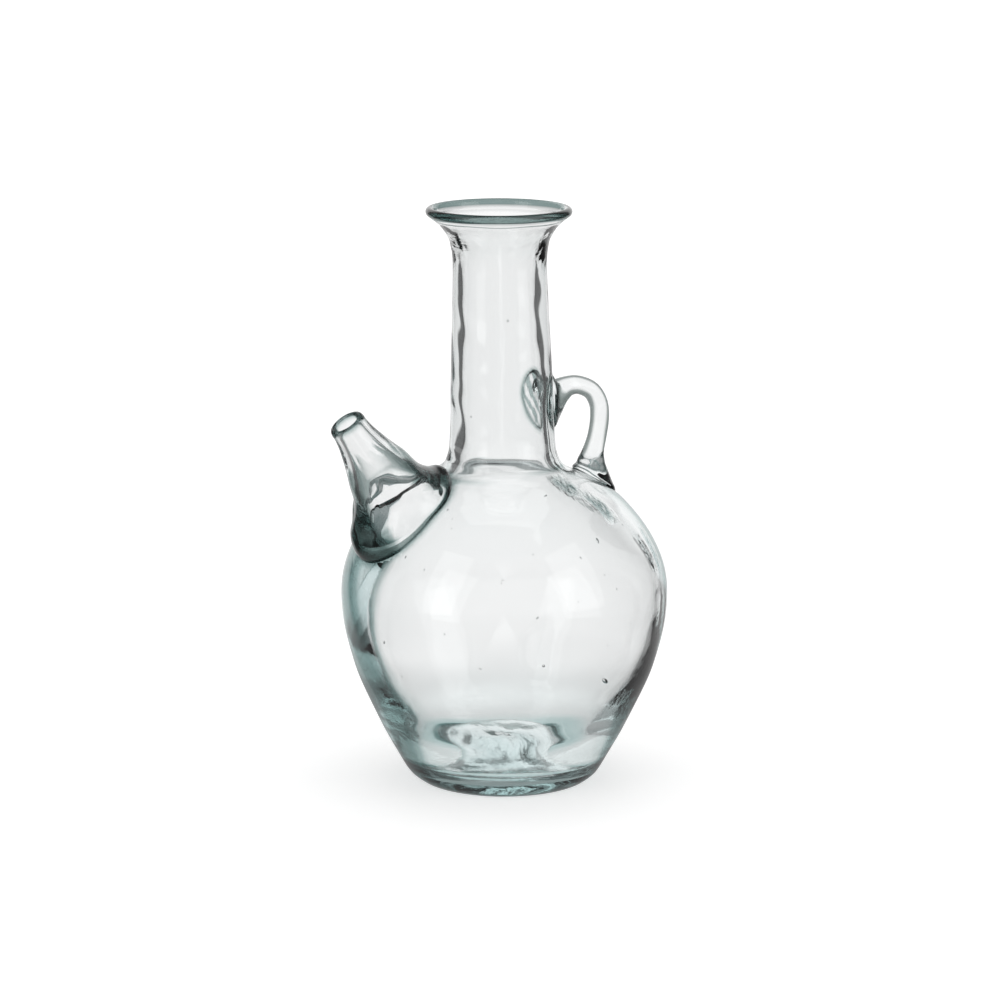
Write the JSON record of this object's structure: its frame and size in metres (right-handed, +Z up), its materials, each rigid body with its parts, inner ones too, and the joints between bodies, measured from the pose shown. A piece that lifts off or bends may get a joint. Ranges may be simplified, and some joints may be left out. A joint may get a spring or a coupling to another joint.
{
  "type": "glass oil bottle",
  "caption": "Hand-blown clear glass olive oil bottle: round body, straight neck with flared lip, angled pouring spout on one shoulder and a small loop handle opposite.",
  "frame": {"origin": "on the resting plane, under the middle of the whole outline seen from above; the vessel's own axis is 4.3 mm towards +X of it", "axes": "+Z up along the neck, -X towards the spout's side, +X towards the handle's side, +Y completes the frame"},
  "size_m": [0.1342, 0.1256, 0.222],
  "materials": {
    "vessel_glass": "fire-polished gloss, faint aqua tint, seeds and cords",
    "applied_glass": "fire-polished gloss",
    "scar_glass": "broken glass, rough"
  },
  "bodies": {
    "root": {"body": "vessel_glass", "neck": "vessel_glass", "lip": "vessel_glass", "spout": "applied_glass", "handle": "applied_glass", "pontil_scar": "scar_glass"}
  },
  "joints": []
}
